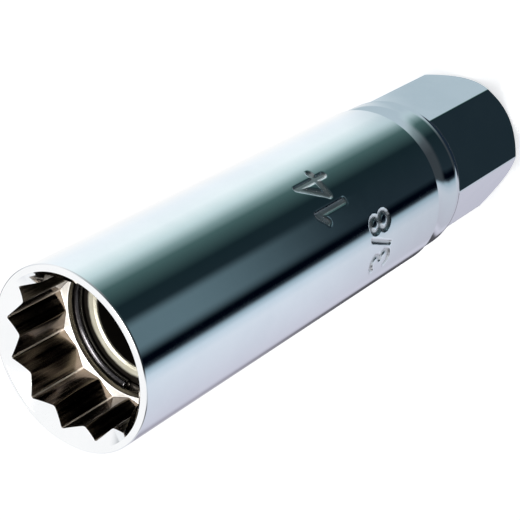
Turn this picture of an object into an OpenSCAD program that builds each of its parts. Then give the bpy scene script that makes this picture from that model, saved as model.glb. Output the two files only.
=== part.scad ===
// Deep twelve-point spark plug socket with a turned barrel, a hexagonal drive end,
// a ring magnet that holds the plug and a wire snap ring that holds the magnet.
// Millimetres. The socket stands on its drive end: the origin is the centre of that face, +Z runs to the mouth.

/* [Socket] */
// Overall length from the drive face to the mouth
total_l = 70; // [62:0.5:120]
// Least wall of the barrel, outside the notch tips of the plug opening
barrel_wall = 1.1; // [1.05:0.05:2.5]
// Radius of the outer edge at the mouth
mouth_round = 0.5; // [0.2:0.05:0.6]

/* [Plug opening] */
// Size across flats of the twelve-point opening
plug_af = 14.05; // [13:0.05:17]
// Depth of the twelve-point opening
broach_l = 7.5; // [6:0.1:10]
// Turn of the notches about the axis, from a corner of the drive hexagon
broach_turn = 18; // [0:0.1:30]
// Height lost at each notch tip, which the broach leaves round
tip_relief = 0.06; // [0.02:0.01:0.15]
// Radial width of the lead-in cone outside the notch tips
lead_in = 0.45; // [0.2:0.05:0.55]
// Slope of the lead-in cone from the axis, in degrees
lead_in_angle = 45; // [30:1:60]

/* [Magnet] */
// Length of the ring magnet
magnet_l = 5.5; // [4:0.1:10]
// Radial width of the ring magnet
magnet_w = 1.8; // [1.2:0.1:2.6]
// Chamfer on the edges of the ring magnet
magnet_edge = 0.2; // [0.1:0.05:0.4]
// Radial width of the shoulder that the magnet sits on
seat_w = 1.5; // [0.9:0.1:2]

/* [Snap ring] */
// Diameter of the snap ring's wire
wire_d = 1; // [0.7:0.05:1.2]
// How far the wire's centre line lies inside the bore wall
wire_inset = 0.05; // [0:0.01:0.15]
// Bore wall left between the end of the plug opening and the wire
ring_drop = 0.75; // [0.4:0.05:2]
// Open gap between the two ends of the wire
ring_gap = 3; // [1.5:0.1:5]
// Direction of the middle of that gap about the axis, in degrees
ring_turn = 155; // [0:1:359]

/* [Neck] */
// How far the neck lies below the barrel
neck_step = 0.25; // [0.1:0.05:1]
// Radius of the hollow fillet that runs from the neck up to the barrel
neck_fillet = 16; // [4:0.5:24]
// Length of the straight part of the neck
neck_l = 1.3; // [0.5:0.1:6]
// Radius of the domed shoulder between the neck and the flats
dome_r = 3.3; // [2:0.1:5]

/* [Drive end] */
// Size across flats of the drive hexagon
hex_af = 15.2; // [14.6:0.1:17]
// Height at which the domed shoulder begins, above the drive face
hex_l = 16.8; // [14:0.1:24]
// Height turned off each corner of the hexagon
corner_relief = 0.06; // [0.02:0.01:0.3]
// Radius of the drive face inside its turned chamfer
face_r = 7.4; // [7:0.05:8.2]
// Length of the chamfer that is turned on the corners at the drive face
face_chamfer_l = 2.1; // [1:0.1:4]
// Size across flats of the driver's square
drive_af = 9.525; // [9:0.025:10]
// Depth of the square opening
drive_l = 12.2; // [10:0.1:14]
// Radius of the corners of the square opening from the axis
drive_corner_r = 6.5; // [6.2:0.05:6.8]
// Radius of the round countersink at the square opening
countersink_r = 6.2; // [5.6:0.05:6.6]
// Radius of the driver's detent ball seat
ball_r = 2; // [1.5:0.1:2.4]
// Depth of the ball seats in the sides of the square
ball_depth = 0.65; // [0.3:0.05:0.9]
// Height of the ball seats above the drive face
ball_z = 5.3; // [4:0.1:7]

/* [Fits] */
// Clearance around the driver's square, on each side
drive_clear = 0.05; // [0.02:0.01:0.1]
// Radial clearance around the magnet
magnet_clear = 0.06; // [0.03:0.01:0.15]
// Clearance around the wire in its groove and above the magnet
wire_clear = 0.05; // [0.03:0.01:0.1]

/* [Hidden] */
$fn = 96;
hex_sides = 6;
notches = 12;
ball_seats = 4;
drill_point = 118;
past = 1;

// Radii from the axis outwards
bore_r = plug_af / 2;
tip_r = bore_r / cos(180 / hex_sides);
barrel_r = tip_r + barrel_wall;
neck_r = barrel_r - neck_step;
hex_corner_r = hex_af / 2 / cos(180 / hex_sides);
magnet_out_r = bore_r - magnet_clear;
magnet_in_r = magnet_out_r - magnet_w;
deep_r = bore_r - seat_w;
wire_line_r = bore_r - wire_inset;
drive_half = drive_af / 2 + drive_clear;

// Heights above the drive face
ledge_z = total_l - broach_l;
wire_z = ledge_z - ring_drop - wire_d / 2;
magnet_top_z = wire_z - wire_d / 2 - wire_clear;
seat_z = magnet_top_z - magnet_l;
fillet_z = hex_l + neck_l;
drill_tip_l = deep_r / tan(drill_point / 2);
drill_end_z = drive_l + (deep_r - drive_half) / tan(drill_point / 2);
lead_in_l = (tip_r + lead_in) / tan(lead_in_angle);
ring_gap_angle = ring_gap / wire_line_r * 180 / PI;

// Half section of the turned blank: barrel with a rounded mouth edge, filleted neck and domed shoulder
module blank_section() {
    difference() {
        translate([0, hex_l])
            square([barrel_r, total_l - hex_l]);
        translate([neck_r, hex_l - past])
            square([neck_step + past, neck_l + past]);
        translate([neck_r + neck_fillet, fillet_z])
            circle(neck_fillet);
        mouth_edge_waste();
    }
    translate([0, hex_l - dome_r])
        square([neck_r - dome_r, dome_r]);
    intersection() {
        translate([neck_r - dome_r, hex_l])
            circle(dome_r);
        translate([0, hex_l - dome_r])
            square([neck_r, dome_r]);
    }
}

// What the mouth's edge radius takes off the square corner of the barrel
module mouth_edge_waste() {
    difference() {
        translate([barrel_r - mouth_round, total_l - mouth_round])
            square(mouth_round + past);
        translate([barrel_r - mouth_round, total_l - mouth_round])
            circle(mouth_round);
    }
}

// Hexagonal drive end with its corners turned off and chamfered towards the drive face
module drive_hexagon() {
    intersection() {
        cylinder(h = hex_l, r = hex_corner_r, $fn = hex_sides);
        union() {
            cylinder(h = face_chamfer_l, r1 = face_r, r2 = hex_corner_r - corner_relief);
            translate([0, 0, face_chamfer_l])
                cylinder(h = hex_l - face_chamfer_l, r = hex_corner_r - corner_relief);
        }
    }
}

// Twelve-point opening: two hexagons turned by half a pitch, round at the notch tips
module plug_opening() {
    intersection() {
        for (turn = [broach_turn, broach_turn + 360 / notches])
            rotate(turn)
                translate([0, 0, ledge_z])
                    cylinder(h = broach_l + past, r = tip_r, $fn = hex_sides);
        translate([0, 0, ledge_z])
            cylinder(h = broach_l + past, r = tip_r - tip_relief);
    }
    translate([0, 0, total_l - lead_in_l])
        cylinder(h = lead_in_l, r1 = 0, r2 = tip_r + lead_in);
}

// Magnet seat, wire groove and the drilled hole down to the square
module bore_steps() {
    translate([0, 0, seat_z])
        cylinder(h = ledge_z - seat_z + past, r = bore_r);
    translate([0, 0, wire_z])
        rotate_extrude()
            translate([wire_line_r, 0])
                circle(wire_d / 2 + wire_clear);
    translate([0, 0, drill_end_z])
        cylinder(h = seat_z - drill_end_z + past, r = deep_r);
    translate([0, 0, drill_end_z - drill_tip_l])
        cylinder(h = drill_tip_l, r1 = 0, r2 = deep_r);
}

// Square for the driver, with trimmed corners, a countersink and a ball seat in each side
module drive_opening() {
    intersection() {
        translate([-drive_half, -drive_half, -past])
            cube([2 * drive_half, 2 * drive_half, drive_l + past]);
        translate([0, 0, -past])
            cylinder(h = drive_l + past, r = drive_corner_r);
    }
    cylinder(h = countersink_r, r1 = countersink_r, r2 = 0);
    for (side = [0 : ball_seats - 1])
        rotate(side * 360 / ball_seats)
            translate([drive_half + ball_depth - ball_r, 0, ball_z])
                sphere(ball_r);
}

module socket_body() {
    color("#c9cdd3")
        difference() {
            union() {
                rotate_extrude()
                    blank_section();
                drive_hexagon();
            }
            plug_opening();
            bore_steps();
            drive_opening();
        }
}

module ring_magnet() {
    color("#dcdcc8")
        translate([0, 0, seat_z])
            rotate_extrude()
                polygon([
                    [magnet_in_r + magnet_edge, 0],
                    [magnet_out_r - magnet_edge, 0],
                    [magnet_out_r, magnet_edge],
                    [magnet_out_r, magnet_l - magnet_edge],
                    [magnet_out_r - magnet_edge, magnet_l],
                    [magnet_in_r + magnet_edge, magnet_l],
                    [magnet_in_r, magnet_l - magnet_edge],
                    [magnet_in_r, magnet_edge]
                ]);
}

module snap_ring() {
    color("#8f8d88")
        translate([0, 0, wire_z])
            rotate(ring_turn + ring_gap_angle / 2)
                rotate_extrude(angle = 360 - ring_gap_angle)
                    translate([wire_line_r, 0])
                        circle(wire_d / 2);
}

socket_body();
ring_magnet();
snap_ring();
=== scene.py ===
"""Looks of a deep spark plug socket that stands on its drive end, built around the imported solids.

The body is one closed surface, a profile carried round the axis. The magnet and the snap ring are
two more. Sizes are in millimetres, as in the part's source, and become metres in the scene.
"""

import math

import bpy
import numpy as np
from mathutils import Matrix


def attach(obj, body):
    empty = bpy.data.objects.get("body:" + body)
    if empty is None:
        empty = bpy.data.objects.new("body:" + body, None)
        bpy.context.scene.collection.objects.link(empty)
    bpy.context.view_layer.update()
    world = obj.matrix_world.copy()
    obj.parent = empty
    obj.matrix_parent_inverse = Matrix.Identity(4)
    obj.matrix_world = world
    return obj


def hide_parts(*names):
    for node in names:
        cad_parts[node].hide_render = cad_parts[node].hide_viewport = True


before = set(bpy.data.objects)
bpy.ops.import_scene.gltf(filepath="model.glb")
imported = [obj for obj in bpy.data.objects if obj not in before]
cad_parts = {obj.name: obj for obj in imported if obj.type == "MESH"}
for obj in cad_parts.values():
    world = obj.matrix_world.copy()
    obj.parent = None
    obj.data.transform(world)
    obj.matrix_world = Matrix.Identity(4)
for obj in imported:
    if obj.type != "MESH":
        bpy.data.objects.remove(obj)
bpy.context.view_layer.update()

MM = 0.001
TURN = 2 * math.pi
SIXTH = TURN / 6
QUARTER = TURN / 4

# Driving sizes, the same as in the part's source
TOTAL_L = 70.0
BARREL_WALL = 1.1
MOUTH_ROUND = 0.5
PLUG_AF = 14.05
BROACH_L = 7.5
NOTCH_TURN = math.radians(18)
NOTCHES = 12
LEAD_IN = 0.45
MAGNET_L = 5.5
MAGNET_W = 1.8
MAGNET_EDGE = 0.2
SEAT_W = 1.5
WIRE_R = 0.5
WIRE_INSET = 0.05
RING_DROP = 0.75
RING_GAP = 3.0
RING_TURN = math.radians(155)
NECK_STEP = 0.25
NECK_FILLET = 16.0
NECK_L = 1.3
DOME_R = 3.3
HEX_AF = 15.2
HEX_L = 16.8
CORNER_RELIEF = 0.06
FACE_R = 7.4
FACE_CHAMFER_L = 2.1
DRIVE_AF = 9.525
DRIVE_L = 12.2
DRIVE_CORNER_R = 6.5
COUNTERSINK_R = 6.2
BALL_R = 2.0
BALL_DEPTH = 0.65
BALL_Z = 5.3
DRILL_POINT = math.radians(118)
DRIVE_CLEAR = 0.05
MAGNET_CLEAR = 0.06
WIRE_CLEAR = 0.05

# Fine rounds that the solids don't have, and how far the barrel is set in to stay inside its solid
NOTCH_TIP_ROUND = 0.39
NOTCH_RIDGE_ROUND = 0.8
HEX_ROUND = 0.39
SQUARE_BLEND = 0.04
EDGE_BREAK = 0.06
SKIN = 0.006

# Radii from the axis, and the turned chamfer's length over its width
BORE_R = PLUG_AF / 2
NOTCH_TIP_R = BORE_R / math.cos(SIXTH / 2)
LEAD_IN_R = NOTCH_TIP_R + LEAD_IN
BARREL_R = NOTCH_TIP_R + BARREL_WALL - SKIN
NECK_R = NOTCH_TIP_R + BARREL_WALL - NECK_STEP
WIRE_LINE_R = BORE_R - WIRE_INSET
GROOVE_R = WIRE_R + WIRE_CLEAR
MAGNET_OUT_R = BORE_R - MAGNET_CLEAR
MAGNET_IN_R = MAGNET_OUT_R - MAGNET_W
DEEP_R = BORE_R - SEAT_W
HEX_FLAT_R = HEX_AF / 2
FACE_SLOPE = FACE_CHAMFER_L / (HEX_FLAT_R / math.cos(SIXTH / 2) - CORNER_RELIEF - FACE_R)
DRIVE_HALF = DRIVE_AF / 2 + DRIVE_CLEAR
BALL_OUT = DRIVE_HALF + BALL_DEPTH - BALL_R

# Heights above the drive face
LEDGE_Z = TOTAL_L - BROACH_L
WIRE_Z = LEDGE_Z - RING_DROP - WIRE_R
MAGNET_TOP_Z = WIRE_Z - WIRE_R - WIRE_CLEAR
SEAT_Z = MAGNET_TOP_Z - MAGNET_L
DRILL_END_Z = DRIVE_L + (DEEP_R - DRIVE_HALF) / math.tan(DRILL_POINT / 2)
FILLET_Z = HEX_L + NECK_L

# Stamped marks. The stroke's width is that of the size mark and scales with the number's height. The rows
# of a mark run from its middle, z, up and down by its reach.
MARK_DEPTH = 0.16
MARK_STROKE = 0.62
MARK_WALL = 0.24
DRIVE_MARK = {"turn": math.radians(-118), "z": 32.5, "tall": 3.3, "reach": 2.1, "rows": 34}
SIZE_MARK = {"turn": math.radians(-72), "z": 39.0, "tall": 4.6, "reach": 2.8, "rows": 44}

# Largest share of a side that the arc at its end may take
ARC_SHARE = 0.45

# Fineness of the meshes
BODY_COLUMNS = 480
CORNER_CROWDING = 1.5
CORNER_SPREAD = math.radians(1.2)
BALL_ROWS_REACH = 1.55
MAGNET_COLUMNS = 192
WIRE_SIDES = 24
WIRE_STEPS = 160

# Width of the painted highlight line along each notch tip
ROOT_HIGHLIGHT_SPREAD = math.radians(0.55)

# Ends of the wire: the length that is rounded over, and the share of the radius left flat
WIRE_END_L = 0.22
WIRE_END_FACE = 0.55

# The photograph's camera and the key lamp
CAMERA_PLACE = (15.983, -103.343, 150.886)
CAMERA_AIM = (-0.833, 0.0, 41.901)
CAMERA_ROLL = math.radians(-120.153)
CAMERA_LENS = 101.664
CAMERA_SENSOR = 36.0
LAMP_PLACE = (10.0, -50.0, 240.0)
LAMP_AIM = (0.0, 0.0, 65.0)
LAMP_D = 100.0
LAMP_WATTS = 0.7

# The floor, and the glow that lifts it to white for the camera
FLOOR_HALF = 2500.0
FLOOR_DROP = 0.02
FLOOR_PALE = (0.9, 0.9, 0.9)
FLOOR_GLOW = (0.44, 0.44, 0.44)

# The studio that the chrome mirrors. A ring's stops are degrees round the axis from +X, with a colour.
WHITE = (1.0, 1.0, 1.0)
OPEN_LIGHT = (0.72, 0.73, 0.75)
LOW_RING = (
    (0, (0.67, 0.81, 0.83)),
    (14.4, (0.85, 0.95, 0.98)),
    (39.6, (0.88, 0.95, 1.0)),
    (72, WHITE),
    (99, WHITE),
    (111.6, (0.60, 0.59, 0.64)),
    (126, (0.34, 0.33, 0.40)),
    (140.4, (0.59, 0.60, 0.70)),
    (205.2, (0.67, 0.74, 0.83)),
    (216, (0.57, 0.68, 0.78)),
    (223.2, (0.32, 0.44, 0.52)),
    (228.2, (0.02, 0.03, 0.04)),
    (232.2, (0.0, 0.001, 0.004)),
    (238.3, (0.0, 0.001, 0.004)),
    (246.2, (0.014, 0.025, 0.034)),
    (302.4, (0.008, 0.019, 0.024)),
    (327.6, (0.06, 0.12, 0.12)),
    (338.4, (0.21, 0.32, 0.325)),
    (351, (0.53, 0.68, 0.70)),
    (360, (0.67, 0.81, 0.83)),
)
LEVEL_RING = (
    (0, (0.60, 0.66, 0.68)),
    (18, (0.90, 0.91, 0.93)),
    (54, (0.78, 0.80, 0.83)),
    (68.4, (0.30, 0.32, 0.34)),
    (86.4, (0.06, 0.065, 0.07)),
    (97.2, (0.34, 0.35, 0.37)),
    (111.6, (0.95, 0.96, 0.97)),
    (151.2, (0.72, 0.74, 0.78)),
    (169.2, (0.36, 0.37, 0.40)),
    (187.2, (0.09, 0.095, 0.105)),
    (198, (0.50, 0.52, 0.56)),
    (216, (0.60, 0.68, 0.76)),
    (232.2, (0.01, 0.012, 0.015)),
    (248.4, (0.02, 0.03, 0.036)),
    (309.6, (0.03, 0.05, 0.055)),
    (360, (0.60, 0.66, 0.68)),
)

# Soft patches over the low ring, laid one after another. Each has the degrees round the axis where it
# starts, is full from, is full to and ends, the slope over which it comes in, its strength and its colour.
LOW_PATCHES = {
    "sheen": ((-122, -106, -86, -72), (-51, -42), 1.0, (0.105, 0.17, 0.20)),
    "dusk": ((138.6, 153, 216, 226.8), (-46, -54), 0.24, (0.10, 0.10, 0.12)),
    "shade": ((88, 102, 127, 135), (-40.5, -50), 1.0, (0.08, 0.08, 0.092)),
    "mist": ((-142, -130, -75, -45), (-57.5, -62.5), 1.0, (0.04, 0.05, 0.058)),
    "edge": ((-85, 25, 100, 125), (-57, -63), 1.0, (0.36, 0.43, 0.47)),
    "under": ((-30, 5, 96, 118), (-51.2, -54.3), 1.0, (0.43, 0.535, 0.60)),
}
NEAR_BLACK = (0.012, 0.022, 0.036)
BEHIND_SPAN = (70, 82, 118, 130)
BEHIND_SLOPE = (-56, -60)
STEEPEST_SLOPE = (-71, -75)
LEVEL_SLOPE = (-38, -28)
DARK_PANEL_SPAN = (-145, -130, -20, 5)
HORIZON_SLOPE = (-2, 10)
CEILING_SLOPE = (22, 34)


def unit(vectors, least=1e-20):
    """Vectors scaled to length 1 along their last axis; one shorter than least stays short."""
    return vectors / np.maximum(np.linalg.norm(vectors, axis=-1, keepdims=True), least)


def nearest(angle, pitch):
    """Signed angle from the nearest multiple of a pitch."""
    return (angle + pitch / 2) % pitch - pitch / 2


def column_angles(count):
    """Angles round the axis, closer together beside the corners of hexagon, notches and square.

    The density is 1 plus a bell for each corner; the angles are equal steps of its running sum.
    """
    fine = np.linspace(0, TURN, 14401)
    corners = np.concatenate([
        np.arange(6) * SIXTH,
        NOTCH_TURN + np.arange(2 * NOTCHES) * TURN / (2 * NOTCHES),
        (np.arange(4) + 0.5) * QUARTER,
    ])
    away = nearest(fine[:, None] - corners, TURN)
    density = 1 + CORNER_CROWDING * np.exp(-(away / CORNER_SPREAD) ** 2).sum(1)
    run = np.concatenate([[0], np.cumsum((density[1:] + density[:-1]) / 2)])
    return np.interp(np.arange(count) / count * run[-1], run, fine)


def hexagon_radius(angle, flat_r, corner_round):
    """Distance from the axis to a regular hexagon with round corners, one corner on angle 0.

    Beside a corner it is the far crossing with the corner's arc, elsewhere flat_r over the cosine
    of the angle from the flat's normal.
    """
    half = SIXTH / 2
    off = np.abs(nearest(angle, SIXTH))
    centre = (flat_r - corner_round) / math.cos(half)
    touch = math.atan2(corner_round * math.sin(half), centre + corner_round * math.cos(half))
    near = np.minimum(off, touch)
    arc = centre * np.cos(near) + np.sqrt(corner_round ** 2 - (centre * np.sin(near)) ** 2)
    return np.where(off < touch, arc, flat_r / np.cos(half - off))


def notch_radius(angle):
    """Distance from the axis to the twelve-point opening, with round notch tips and round ridges.

    It is the larger of two hexagons one notch pitch apart; beside each ridge it is the near crossing
    with an arc whose centre lies in the wall.
    """
    pitch = TURN / NOTCHES
    half = pitch / 2
    turned = angle - NOTCH_TURN
    one = hexagon_radius(turned, BORE_R, NOTCH_TIP_ROUND)
    two = hexagon_radius(turned + pitch, BORE_R, NOTCH_TIP_ROUND)
    off = np.abs(nearest(turned - half, pitch))
    centre = (BORE_R + NOTCH_RIDGE_ROUND) / math.cos(half)
    touch = math.atan2(NOTCH_RIDGE_ROUND * math.sin(half), centre - NOTCH_RIDGE_ROUND * math.cos(half))
    near = np.minimum(off, touch)
    arc = centre * np.cos(near) - np.sqrt(NOTCH_RIDGE_ROUND ** 2 - (centre * np.sin(near)) ** 2)
    return np.where(off < touch, arc, np.maximum(one, two))


def square_radius(angle):
    """Distance from the axis to the driver's square: a soft minimum of its sides and a corner circle."""
    side = DRIVE_HALF / np.cos(nearest(angle, QUARTER))
    return -SQUARE_BLEND * np.logaddexp(-side / SQUARE_BLEND, -DRIVE_CORNER_R / SQUARE_BLEND)


def ball_radius(angle, height):
    """Distance from the axis to the far side of the ball seats in the square, or 0 beside them."""
    off = nearest(angle, QUARTER)
    under = BALL_R ** 2 - (height - BALL_Z) ** 2 - (BALL_OUT * np.sin(off)) ** 2
    return np.where(under > 0, BALL_OUT * np.cos(off) + np.sqrt(np.maximum(under, 0)), 0)


class Profile:
    """Corners of a closed profile in order, each with the finish of the side that follows it."""

    def __init__(self, angle):
        self.angle = angle
        self.corners = []
        self.sides = []

    def corner(self, side, radius, height, rounding=0.0, steps=0):
        """Adds a corner; radius and height are numbers or arrays over the columns."""
        flat = np.zeros_like(self.angle)
        self.corners.append((radius + flat, height + flat, rounding, steps))
        self.sides.append(side)

    def row_finish(self):
        """Finish of each row that rounded_rows makes: an arc changes over at its middle."""
        finish = []
        for k, (_, _, _, steps) in enumerate(self.corners):
            early = (steps + 1) // 2
            finish += [self.sides[k - 1]] * early + [self.sides[k]] * (steps + 1 - early)
        return np.array(finish)


def rounded_rows(corners):
    """Rows of a closed profile, each corner of it replaced by an arc that touches both its sides.

    corners: list of (radius, height, rounding, steps), where radius and height are arrays over the
    columns. The arc's points are turned evenly between the two directions from its centre to where
    it touches the sides; it shrinks where a side is too short. Returns arrays (row, column) of
    radius and height.
    """
    at = [np.stack([radius, height], -1) for radius, height, _, _ in corners]
    rows = []
    for k, (_, _, rounding, steps) in enumerate(corners):
        here = at[k]
        if not steps:
            rows.append(here[None])
            continue
        back = at[k - 1] - here
        ahead = at[(k + 1) % len(at)] - here
        room = np.minimum(np.linalg.norm(back, axis=-1), np.linalg.norm(ahead, axis=-1))[:, None]
        back = unit(back)
        ahead = unit(ahead)
        opening = np.arccos(np.clip((back * ahead).sum(-1, keepdims=True), -1, 1))
        half = np.clip(opening / 2, 1e-3, math.pi / 2 - 1e-4)
        reach = np.minimum(rounding / np.tan(half), ARC_SHARE * room)
        radius = reach * np.tan(half)
        centre = here + unit(back + ahead, 1e-9) * radius / np.sin(half)
        start = (here + back * reach - centre) / radius
        end = (here + ahead * reach - centre) / radius
        turn = math.pi - 2 * half
        share = (np.arange(steps + 1) / steps)[:, None, None]
        arc = (np.sin((1 - share) * turn) * start + np.sin(share * turn) * end) / np.sin(turn)
        rows.append(centre + radius * arc)
    rows = np.concatenate(rows)
    return rows[..., 0], rows[..., 1]


def place_object(name, data):
    """A new object with this data, at the origin of the scene."""
    thing = bpy.data.objects.new(name, data)
    bpy.context.scene.collection.objects.link(thing)
    return thing


def closed_grid(name, angle, radius, height, zones=None):
    """A closed mesh from a profile that comes back to its start, carried round the axis.

    Point (row, column) is radius times cosine and sine of the column's angle, at the row's height.
    Each point's normal is the sum of its four faces' area vectors, so flats stay flat beside rounds.
    zones: values for each point, by the name that the material reads.
    """
    co = np.stack([radius * np.cos(angle), radius * np.sin(angle), height], -1) * MM
    index = np.arange(radius.size).reshape(radius.shape)
    right = np.roll(index, -1, 1)
    quads = np.stack([index, right, np.roll(right, -1, 0), np.roll(index, -1, 0)], -1).reshape(-1, 4)
    co_right = np.roll(co, -1, 1)
    area = np.cross(np.roll(co_right, -1, 0) - co, np.roll(co, -1, 0) - co_right)
    area = area + np.roll(area, 1, 0)
    area = area + np.roll(area, 1, 1)
    mesh = bpy.data.meshes.new(name)
    mesh.vertices.add(radius.size)
    mesh.vertices.foreach_set("co", co.astype(np.float32).ravel())
    mesh.loops.add(quads.size)
    mesh.loops.foreach_set("vertex_index", quads.astype(np.int32).ravel())
    mesh.polygons.add(len(quads))
    mesh.polygons.foreach_set("loop_start", np.arange(0, quads.size, 4, dtype=np.int32))
    mesh.update(calc_edges=True)
    mesh.shade_smooth()
    for zone, values in (zones or {}).items():
        field = mesh.attributes.new(zone, "FLOAT", "POINT")
        field.data.foreach_set("value", values.astype(np.float32).ravel())
    mesh.normals_split_custom_set_from_vertices(unit(area).reshape(-1, 3).astype(np.float32))
    return place_object(name, mesh)


def bowl(middle, reach, start, end, points):
    """Points along part of an ellipse, from one angle to another in degrees."""
    angle = np.radians(np.linspace(start, end, points))
    return np.stack([middle[0] + reach[0] * np.cos(angle), middle[1] + reach[1] * np.sin(angle)], -1)


def size_strokes():
    """Centre lines of the plug's size, 14, in shares of the number's height."""
    one = np.array([(0.12, 0.78), (0.36, 1.0), (0.36, 0.0)])
    four = np.array([(1.10, 0.0), (1.10, 1.0), (0.62, 0.3), (1.28, 0.3)])
    return [one, four]


def drive_strokes():
    """Centre lines of the driver's size, 3/8, in shares of the number's height."""
    three_top = bowl((0.28, 0.75), (0.27, 0.25), 150, -80, 9)
    three_low = bowl((0.28, 0.26), (0.30, 0.26), 80, -150, 10)
    slash = np.array([(0.76, 0.0), (1.18, 1.0)])
    eight_top = bowl((1.63, 0.76), (0.25, 0.24), 0, 360, 14)
    eight_low = bowl((1.63, 0.26), (0.29, 0.26), 0, 360, 14)
    return [np.concatenate([three_top, three_low]), slash, eight_top, eight_low]


def mark_depth(angle, height, strokes, mark):
    """Depth of a stamped number at each column of the barrel, at one height.

    Distance to the nearest stroke's centre line, measured on the unrolled barrel; the depth falls
    smoothly from full inside the stroke to nothing at its edge.
    """
    tall = mark["tall"]
    wide = max(line[:, 0].max() for line in strokes) * tall
    across = nearest(angle - mark["turn"], TURN) * BARREL_R + wide / 2
    up = np.full_like(angle, height - mark["z"] + tall / 2)
    point = np.stack([across, up], -1)[:, None]
    start = np.concatenate([line[:-1] for line in strokes]) * tall
    run = np.concatenate([line[1:] - line[:-1] for line in strokes]) * tall
    along = np.clip(((point - start) * run).sum(-1) / (run ** 2).sum(-1), 0, 1)[..., None]
    away = np.linalg.norm(point - start - along * run, axis=-1).min(-1)
    stroke = MARK_STROKE * tall / SIZE_MARK["tall"]
    share = np.clip(((stroke + MARK_WALL) / 2 - away) / MARK_WALL, 0, 1)
    return MARK_DEPTH * share * share * (3 - 2 * share)


def plug_opening(profile):
    """The mouth's round edge and face, the lead-in cone that cuts the notches, their walls and the ledge."""
    star = notch_radius(profile.angle)
    profile.corner("plate", BARREL_R, TOTAL_L, rounding=MOUTH_ROUND, steps=8)
    profile.corner("plate", LEAD_IN_R, TOTAL_L, rounding=0.1, steps=4)
    profile.corner("broached", star, TOTAL_L - (LEAD_IN_R - star), rounding=0.14, steps=4)
    profile.corner("ledge", star, LEDGE_Z, rounding=0.08, steps=3)
    profile.corner("bored", BORE_R, LEDGE_Z, rounding=0.12, steps=4)


def bore(profile):
    """The bored wall with the wire's groove, the magnet's shoulder and the hole with its drill point."""
    lip = math.asin((BORE_R - WIRE_LINE_R) / GROOVE_R)
    profile.corner("bored", BORE_R, WIRE_Z + GROOVE_R * math.cos(lip), rounding=0.05, steps=3)
    for turn in np.linspace(QUARTER - lip, lip - QUARTER, 12)[1:-1]:
        profile.corner("bored", WIRE_LINE_R + GROOVE_R * math.cos(turn), WIRE_Z + GROOVE_R * math.sin(turn))
    profile.corner("bored", BORE_R, WIRE_Z - GROOVE_R * math.cos(lip), rounding=0.05, steps=3)
    profile.corner("deep", BORE_R, SEAT_Z, rounding=0.05, steps=2)
    profile.corner("deep", DEEP_R, SEAT_Z, rounding=0.1, steps=3)
    profile.corner("deep", DEEP_R, DRILL_END_Z, rounding=0.1, steps=3)


def drive_opening(profile):
    """The driver's square from its floor down over the ball seats to the countersink in the drive face."""
    square = square_radius(profile.angle)
    floor_r = np.minimum(DRIVE_HALF, square - EDGE_BREAK / 2)
    profile.corner("deep", floor_r, DRIVE_L, rounding=0.05, steps=2)
    profile.corner("broached", square, DRIVE_L, rounding=0.05, steps=2)
    for height in np.linspace(BALL_Z + BALL_ROWS_REACH, BALL_Z - BALL_ROWS_REACH, 20):
        profile.corner("broached", np.maximum(square, ball_radius(profile.angle, height)), height)
    sink = np.maximum(COUNTERSINK_R, square + EDGE_BREAK)
    profile.corner("plate", square, sink - square, rounding=0.1, steps=3)
    profile.corner("plate", sink, 0.0, rounding=0.08, steps=3)


def drive_hexagon(profile):
    """The drive face, the turned chamfer, the flats and the dome that they run out into.

    The dome is a circle of DOME_R in the profile; lean is the angle on it where each column's flat ends.
    """
    hexagon = hexagon_radius(profile.angle, HEX_FLAT_R, HEX_ROUND)
    face = np.minimum(FACE_R, hexagon - EDGE_BREAK)
    profile.corner("plate", face, 0.0, rounding=0.08, steps=3)
    profile.corner("plate", hexagon, (hexagon - face) * FACE_SLOPE, rounding=0.2, steps=4)
    lean = np.arccos((hexagon - NECK_R + DOME_R) / DOME_R)
    profile.corner("plate", hexagon, HEX_L - DOME_R * np.sin(lean), rounding=0.3, steps=4)
    for share in np.linspace(1, 0, 10)[1:]:
        dome_r = NECK_R - DOME_R + DOME_R * np.cos(lean * share)
        profile.corner("plate", dome_r, HEX_L - DOME_R * np.sin(lean * share))


def barrel(profile):
    """The neck's hollow fillet, then the barrel with its stamped marks."""
    top = math.acos(1 - (BARREL_R - NECK_R) / NECK_FILLET)
    for turn in np.linspace(0, top, 7)[:-1]:
        fillet_r = NECK_R + NECK_FILLET * (1 - math.cos(turn))
        profile.corner("plate", fillet_r, FILLET_Z + NECK_FILLET * math.sin(turn))
    profile.corner("plate", BARREL_R, FILLET_Z + NECK_FILLET * math.sin(top), rounding=0.25, steps=4)
    for strokes, mark in ((drive_strokes(), DRIVE_MARK), (size_strokes(), SIZE_MARK)):
        for height in np.linspace(mark["z"] - mark["reach"], mark["z"] + mark["reach"], mark["rows"]):
            depth = mark_depth(profile.angle, height, strokes, mark)
            profile.corner("plate", BARREL_R - depth, height)


def make_body():
    """The socket body: its profile from the mouth down the bore and back up the outside, carried round.

    Zones for the material: the finish of each row, a narrow bell along each notch tip for a painted
    highlight line, and the marks by their depth.
    """
    angle = column_angles(BODY_COLUMNS)
    profile = Profile(angle)
    for stretch in (plug_opening, bore, drive_opening, drive_hexagon, barrel):
        stretch(profile)
    radius, height = rounded_rows(profile.corners)
    finish = profile.row_finish()
    zones = {zone: np.repeat(finish == zone, angle.size) for zone in ("broached", "ledge", "bored", "deep")}
    in_mouth = (finish == "broached") & (height.min(1) > SEAT_Z)
    tips = np.exp(-(nearest(angle - NOTCH_TURN, TURN / NOTCHES) / ROOT_HIGHLIGHT_SPREAD) ** 2)
    zones["root"] = np.outer(in_mouth, tips)
    lowest = DRIVE_MARK["z"] - DRIVE_MARK["reach"]
    highest = SIZE_MARK["z"] + SIZE_MARK["reach"]
    marked = (radius > LEAD_IN_R) & (height >= lowest) & (height <= highest)
    zones["stamped"] = np.where(marked, (BARREL_R - radius) / MARK_DEPTH, 0)
    return closed_grid("socket_body_shell", angle, radius, height, zones)


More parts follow.
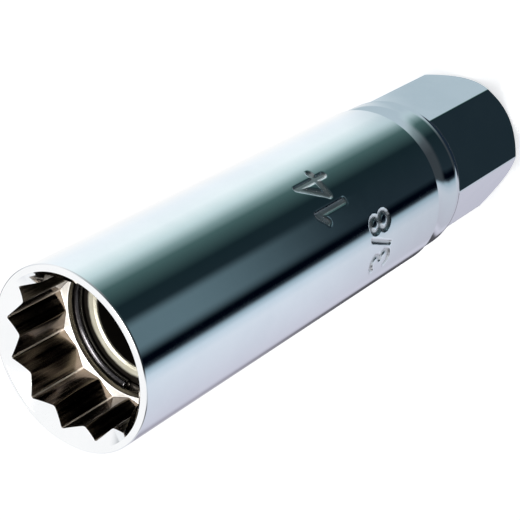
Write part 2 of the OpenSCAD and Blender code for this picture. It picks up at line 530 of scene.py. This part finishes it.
def make_magnet():
    """The ring magnet: a square section with chamfered, slightly round edges, carried round the axis."""
    profile = Profile(np.linspace(0, TURN, MAGNET_COLUMNS, endpoint=False))
    for radius, height in (
        (MAGNET_IN_R, SEAT_Z + MAGNET_EDGE),
        (MAGNET_IN_R + MAGNET_EDGE, SEAT_Z),
        (MAGNET_OUT_R - MAGNET_EDGE, SEAT_Z),
        (MAGNET_OUT_R, SEAT_Z + MAGNET_EDGE),
        (MAGNET_OUT_R, MAGNET_TOP_Z - MAGNET_EDGE),
        (MAGNET_OUT_R - MAGNET_EDGE, MAGNET_TOP_Z),
        (MAGNET_IN_R + MAGNET_EDGE, MAGNET_TOP_Z),
        (MAGNET_IN_R, MAGNET_TOP_Z - MAGNET_EDGE),
    ):
        profile.corner("nickel", radius, height, rounding=0.12, steps=3)
    rows_r, rows_z = rounded_rows(profile.corners)
    return closed_grid("ring_magnet_shell", profile.angle, rows_r, rows_z)


def make_snap_ring():
    """The snap ring: a round wire carried along an open circle, its ends rounded over and closed.

    Along the wire the section's radius is full, and near each end it follows a quarter ellipse down
    to a small sheared face.
    """
    half_gap = RING_GAP / WIRE_LINE_R / 2
    end = half_gap + np.array([0.0, 0.03, 0.09, 0.16, WIRE_END_L]) / WIRE_LINE_R
    middle = np.linspace(end[-1], TURN - end[-1], WIRE_STEPS)[1:-1]
    path = np.concatenate([end, middle, TURN - end[::-1]])
    from_end = (np.minimum(path, TURN - path) - half_gap) * WIRE_LINE_R
    gone = np.clip(1 - from_end / WIRE_END_L, 0, 1)
    wire = WIRE_R * (WIRE_END_FACE + (1 - WIRE_END_FACE) * np.sqrt(1 - gone ** 2))
    turn = np.linspace(0, TURN, WIRE_SIDES, endpoint=False)
    radius = WIRE_LINE_R + wire[:, None] * np.cos(turn)
    height = WIRE_Z + wire[:, None] * np.sin(turn)
    angle = (path + RING_TURN)[:, None]
    tube = np.stack([radius * np.cos(angle), radius * np.sin(angle), height], -1)
    caps = np.stack([tube[0].mean(0), tube[-1].mean(0)])
    co = np.concatenate([tube.reshape(-1, 3), caps]) * MM
    index = np.arange(path.size * WIRE_SIDES).reshape(-1, WIRE_SIDES)
    right = np.roll(index, -1, 1)
    quads = np.stack([index[:-1], index[1:], right[1:], right[:-1]], -1).reshape(-1, 4)
    first_tip = np.stack([np.full(WIRE_SIDES, len(co) - 2), index[0], right[0]], -1)
    last_tip = np.stack([np.full(WIRE_SIDES, len(co) - 1), right[-1], index[-1]], -1)
    mesh = bpy.data.meshes.new("snap_ring_wire")
    mesh.from_pydata(co.tolist(), [], quads.tolist() + first_tip.tolist() + last_tip.tolist())
    mesh.update(calc_edges=True)
    mesh.shade_smooth()
    return place_object("snap_ring_wire", mesh)


class Wire:
    """A socket in a shader expression: operators add Math nodes, make() adds any other node."""

    def __init__(self, tree, socket=None):
        self.tree = tree
        self.socket = socket

    def make(self, kind, settings=None, sockets=None, output=0):
        """A new node with these settings and inputs, as a Wire of one of its outputs."""
        node = self.tree.nodes.new(kind)
        for key, value in (settings or {}).items():
            if key == "stops":
                ramp = node.color_ramp
                while len(ramp.elements) < len(value):
                    ramp.elements.new(0.5)
                for element, (place, colour) in zip(ramp.elements, value):
                    element.position = place
                    element.color = (*colour, 1)
            else:
                setattr(node, key, value)
        for key, value in (sockets or {}).items():
            if isinstance(value, Wire):
                self.tree.links.new(value.socket, node.inputs[key])
            else:
                node.inputs[key].default_value = value
        return Wire(self.tree, node.outputs[output]) if len(node.outputs) else Wire(self.tree)

    def port(self, output):
        """Another output of the same node."""
        return Wire(self.tree, self.socket.node.outputs[output])

    def math(self, operation, *values):
        """A Math node on these values."""
        return self.make("ShaderNodeMath", {"operation": operation}, dict(enumerate(values)))

    def __add__(self, other):
        return self.math("ADD", self, other)

    def __sub__(self, other):
        return self.math("SUBTRACT", self, other)

    def __rsub__(self, other):
        return self.math("SUBTRACT", other, self)

    def __mul__(self, other):
        return self.math("MULTIPLY", self, other)

    def __truediv__(self, other):
        return self.math("DIVIDE", self, other)

    def __rtruediv__(self, other):
        return self.math("DIVIDE", other, self)

    __radd__ = __add__
    __rmul__ = __mul__

    def step(self, low, high):
        """Smooth rise from 0 to 1 while this value goes from low to high."""
        smooth = {"interpolation_type": "SMOOTHSTEP"}
        return self.make("ShaderNodeMapRange", smooth, {0: self, 1: low, 2: high})

    def mix(self, first, second):
        """Colour that goes from first to second as this value goes from 0 to 1."""
        first, second = (end if isinstance(end, Wire) else (*end, 1) for end in (first, second))
        return self.make("ShaderNodeMix", {"data_type": "RGBA"}, {0: self, 6: first, 7: second}, 2)


def new_material(name):
    """A node material, with a Wire to build in it and its shader node."""
    material = bpy.data.materials.new(name)
    material.use_nodes = True
    tree = material.node_tree
    shader = next(node for node in tree.nodes if node.type == "BSDF_PRINCIPLED")
    return material, Wire(tree), shader


def connect(wire, shader, **sockets):
    """Links values to the shader's sockets by name, with _ for a space; plain numbers are set."""
    for key, value in sockets.items():
        port = shader.inputs[key.replace("_", " ")]
        if isinstance(value, Wire):
            wire.tree.links.new(value.socket, port)
        else:
            port.default_value = value


def object_millimetres(w, scale=(1.0, 1.0, 1.0)):
    """Object coordinates in millimetres, times a scale for each axis."""
    place = w.make("ShaderNodeTexCoord", output=3)
    return w.make("ShaderNodeMapping", None, {0: place, 3: tuple(share / MM for share in scale)})


def noise(w, place, scale, detail=2.0, rough=0.5):
    """Soft noise from 0 to 1 at a place."""
    inputs = {"Vector": place, "Scale": scale, "Detail": detail, "Roughness": rough}
    return w.make("ShaderNodeTexNoise", None, inputs)


def body_material():
    """Bright chrome plate outside; inside, broached walls, a matt ledge, a bored wall and a dark hole, with
    painted shade darkening the walls and making the hole near black, a painted reflection of the ledge on
    the walls and a painted highlight line along each notch tip.
    """
    material, w, shader = new_material("chrome_steel")
    place = object_millimetres(w)
    broached, root, ledge, bored, deep, stamped = (
        w.make("ShaderNodeAttribute", {"attribute_name": zone}, output=2)
        for zone in ("broached", "root", "ledge", "bored", "deep", "stamped"))
    smear = noise(w, place, 0.16, 4.0, 0.6)
    grain = noise(w, place, 1.7, 5.0, 0.65)
    rings = noise(w, object_millimetres(w, (0.25, 0.25, 6.0)), 1.0, 3.0)
    draws = noise(w, object_millimetres(w, (3.0, 3.0, 0.12)), 1.0, 4.0, 0.6)
    level = w.make("ShaderNodeSeparateXYZ", None, {0: place}, 2)
    # Painted reflection of the bright ledge: the broached walls lighten just above it.
    ledge_reflection = level.step(LEDGE_Z + 2.6, LEDGE_Z + 0.2) * level.step(LEDGE_Z - 1.0, LEDGE_Z)
    # The broached walls are dark unplated steel, darkened further as painted shade of the bore.
    wall = draws.step(0.35, 0.7).mix((0.014, 0.010, 0.008), (0.10, 0.08, 0.064))
    wall = (0.5 * ledge_reflection).mix(wall, (0.26, 0.21, 0.165))
    ledge_colour = grain.step(0.3, 0.7).mix((0.86, 0.83, 0.78), (0.96, 0.94, 0.90))
    # The bored wall is dark steel too, also darkened further as painted shade.
    bored_shaded_colour = rings.step(0.3, 0.7).mix((0.09, 0.078, 0.066), (0.20, 0.18, 0.155))
    # Painted shade: the deep hole is coloured near black.
    deep_shade_colour = rings.step(0.3, 0.7).mix((0.006, 0.006, 0.006), (0.02, 0.018, 0.017))
    colour = smear.step(0.3, 0.7).mix((0.91, 0.925, 0.94), (0.95, 0.96, 0.97))
    colour = broached.mix(colour, wall)
    # Painted highlight: a pale line along each notch tip.
    colour = root.mix(colour, (0.62, 0.56, 0.50))
    colour = stamped.mix(colour, (0.72, 0.72, 0.72))
    colour = ledge.mix(colour, ledge_colour)
    colour = bored.mix(colour, bored_shaded_colour)
    colour = deep.mix(colour, deep_shade_colour)
    rough = 0.045 + 0.04 * smear.step(0.35, 0.75) + 0.03 * grain.step(0.45, 0.8)
    rough = rough + broached * (0.04 + 0.14 * draws.step(0.3, 0.7)) + root * 0.35
    rough = rough + ledge * 0.55 + bored * 0.2 + deep * 0.35 + stamped * 0.3
    height = 0.0025 * rings + 0.003 * smear + broached * (0.02 * draws)
    height = height + ledge * (0.05 * grain) + bored * (0.05 * rings)
    bump = w.make("ShaderNodeBump", None, {"Strength": 0.35, "Distance": 0.0003, "Height": height})
    connect(w, shader, Base_Color=colour, Metallic=1.0, Roughness=rough, Normal=bump)
    return material


def magnet_material():
    """Satin nickel plate with a warm cream cast, with painted shade in the wire's shadow and below its front
    edge.
    """
    material, w, shader = new_material("nickel_magnet")
    place = object_millimetres(w)
    cloud = noise(w, place, 0.7, 4.0, 0.6)
    grain = noise(w, place, 9.0, 3.0, 0.6)
    flat = w.make("ShaderNodeVectorMath", {"operation": "MULTIPLY"}, {0: place, 1: (1.0, 1.0, 0.0)})
    reach = w.make("ShaderNodeVectorMath", {"operation": "LENGTH"}, {0: flat}, 1)
    level = w.make("ShaderNodeSeparateXYZ", None, {0: place}, 2)
    # Painted shade: dark in the wire's shadow near the outer edge, and all over below the front edge, down
    # in the hole.
    wire_shadow = (reach + 0.3 * cloud).step(6.0, 6.35)
    painted_shade = w.math("MAXIMUM", wire_shadow, level.step(MAGNET_TOP_Z - 0.25, MAGNET_TOP_Z - 0.45))
    unshaded_nickel = cloud.step(0.3, 0.7).mix((0.60, 0.58, 0.47), (0.72, 0.70, 0.60))
    colour = painted_shade.mix(unshaded_nickel, (0.02, 0.017, 0.014))
    bump = w.make("ShaderNodeBump", None, {"Strength": 0.3, "Distance": 0.0001, "Height": grain})
    connect(w, shader, Base_Color=colour, Metallic=1.0, Roughness=0.5 + 0.12 * grain, Normal=bump)
    return material


def wire_material():
    """Blackened spring wire with a fine grain."""
    material, w, shader = new_material("spring_wire")
    grain = noise(w, object_millimetres(w), 4.0, 4.0, 0.6)
    colour = grain.step(0.3, 0.7).mix((0.028, 0.027, 0.028), (0.06, 0.058, 0.06))
    bump = w.make("ShaderNodeBump", None, {"Strength": 0.1, "Distance": 0.0001, "Height": grain})
    connect(w, shader, Base_Color=colour, Metallic=1.0, Roughness=0.15 + 0.1 * grain, Normal=bump)
    return material


def ring(around, stops):
    """Colours round the axis from stops in degrees."""
    share = around.math("WRAP", around, 360.0, 0.0) / 360
    stops = [(degrees / 360, colour) for degrees, colour in stops]
    return around.make("ShaderNodeValToRGB", {"stops": stops}, {0: share})


def span(around, start, full_from, full_to, end):
    """1 from full_from to full_to round the axis, falling smoothly to 0 at start and end, in degrees."""
    past = around.math("WRAP", around - start, 360.0, 0.0)
    return past.step(0.0, full_from - start) * past.step(end - start, full_to - start)


def mirrored_studio(around, slope):
    """Colour that chrome mirrors from a direction, told by its angle round the axis and its slope.

    From below upwards: the low ring with its patches, the level ring, a white horizon with a gap at
    the dark panel, and a white ceiling.
    """
    studio = ring(around, LOW_RING)
    for stretch, rise, strength, colour in LOW_PATCHES.values():
        patch = strength * (slope.step(*rise) * span(around, *stretch))
        studio = patch.mix(studio, colour)
    behind = slope.step(*BEHIND_SLOPE) * span(around, *BEHIND_SPAN)
    studio = slope.math("MAXIMUM", slope.step(*STEEPEST_SLOPE), behind).mix(studio, NEAR_BLACK)
    studio = slope.step(*LEVEL_SLOPE).mix(studio, ring(around, LEVEL_RING))
    horizon = slope.step(*HORIZON_SLOPE) * (1 - span(around, *DARK_PANEL_SPAN))
    return slope.math("MAXIMUM", slope.step(*CEILING_SLOPE), horizon).mix(studio, WHITE)


def make_world():
    """White to the camera, an even light to matt surfaces, and the studio to mirrors."""
    world = bpy.data.worlds.new("studio")
    world.use_nodes = True
    bpy.context.scene.world = world
    tree = world.node_tree
    tree.nodes.clear()
    w = Wire(tree)
    direction = w.make("ShaderNodeTexCoord", output=0)
    parts = w.make("ShaderNodeSeparateXYZ", None, {0: direction})
    x, y, z = (parts.port(axis) for axis in range(3))
    around = w.math("ARCTAN2", y, x) * (360 / TURN)
    slope = w.math("ARCSINE", z) * (360 / TURN)
    ray = w.make("ShaderNodeLightPath")
    colour = ray.port("Is Glossy Ray").mix(OPEN_LIGHT, mirrored_studio(around, slope))
    seen = w.math("MAXIMUM", ray.port("Is Camera Ray"), ray.port("Is Transmission Ray"))
    shine = w.make("ShaderNodeBackground", None, {0: seen.mix(colour, WHITE), 1: 1.0})
    w.make("ShaderNodeOutputWorld", None, {0: shine})


def make_floor():
    """A pale floor under the drive face, white to the camera, that keeps the socket's shadow."""
    half = FLOOR_HALF * MM
    level = -FLOOR_DROP * MM
    corners = [(-half, -half, level), (half, -half, level), (half, half, level), (-half, half, level)]
    mesh = bpy.data.meshes.new("floor")
    mesh.from_pydata(corners, [], [(0, 1, 2, 3)])
    floor = place_object("floor", mesh)
    floor.visible_glossy = False
    material, w, shader = new_material("floor")
    glow = w.make("ShaderNodeLightPath", output=0).mix((0, 0, 0), FLOOR_GLOW)
    connect(w, shader, Base_Color=(*FLOOR_PALE, 1), Roughness=0.9, Specular_IOR_Level=0.0,
            Emission_Color=glow, Emission_Strength=1.0)
    mesh.materials.append(material)


def facing(place, aim, roll=0.0):
    """Placement at a place that looks to an aim, turned by roll about that line."""
    back = unit(np.subtract(place, aim))
    level = unit(np.cross((0.0, 0.0, 1.0), back))
    side = math.cos(roll) * level + math.sin(roll) * np.cross(back, level)
    axes = np.stack([side, np.cross(back, side), back], 1)
    return Matrix.Translation([value * MM for value in place]) @ Matrix(axes.tolist()).to_4x4()


def make_key_lamp():
    """A soft round lamp above the mouth, and the collection of what it lights.

    The floor stays out of that collection, so that its soft shadow isn't washed out.
    """
    data = bpy.data.lights.new("key", "AREA")
    data.shape = "DISK"
    data.size = LAMP_D * MM
    data.energy = LAMP_WATTS
    lamp = place_object("key", data)
    lamp.matrix_world = facing(LAMP_PLACE, LAMP_AIM)
    lit = bpy.data.collections.new("lit_by_key")
    lamp.light_linking.receiver_collection = lit
    return lit


def make_camera():
    """The photograph's camera, in the standing socket's frame."""
    data = bpy.data.cameras.new("camera")
    data.lens = CAMERA_LENS
    data.sensor_width = CAMERA_SENSOR
    data.clip_start = 0.005
    data.clip_end = 20.0
    camera = place_object("camera", data)
    camera.matrix_world = facing(CAMERA_PLACE, CAMERA_AIM, CAMERA_ROLL)
    bpy.context.scene.camera = camera


make_camera()
make_world()
make_floor()
lit = make_key_lamp()

for maker, finish, node, slot in (
    (make_body, body_material, "socket_body", "chrome_steel"),
    (make_magnet, magnet_material, "ring_magnet", "nickel_magnet"),
    (make_snap_ring, wire_material, "snap_ring", "spring_wire"),
):
    piece = maker()
    piece.data.materials.append(finish())
    lit.objects.link(piece)
    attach(piece, "root")
    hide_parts(node)

bpy.context.scene.view_settings.view_transform = "Standard"
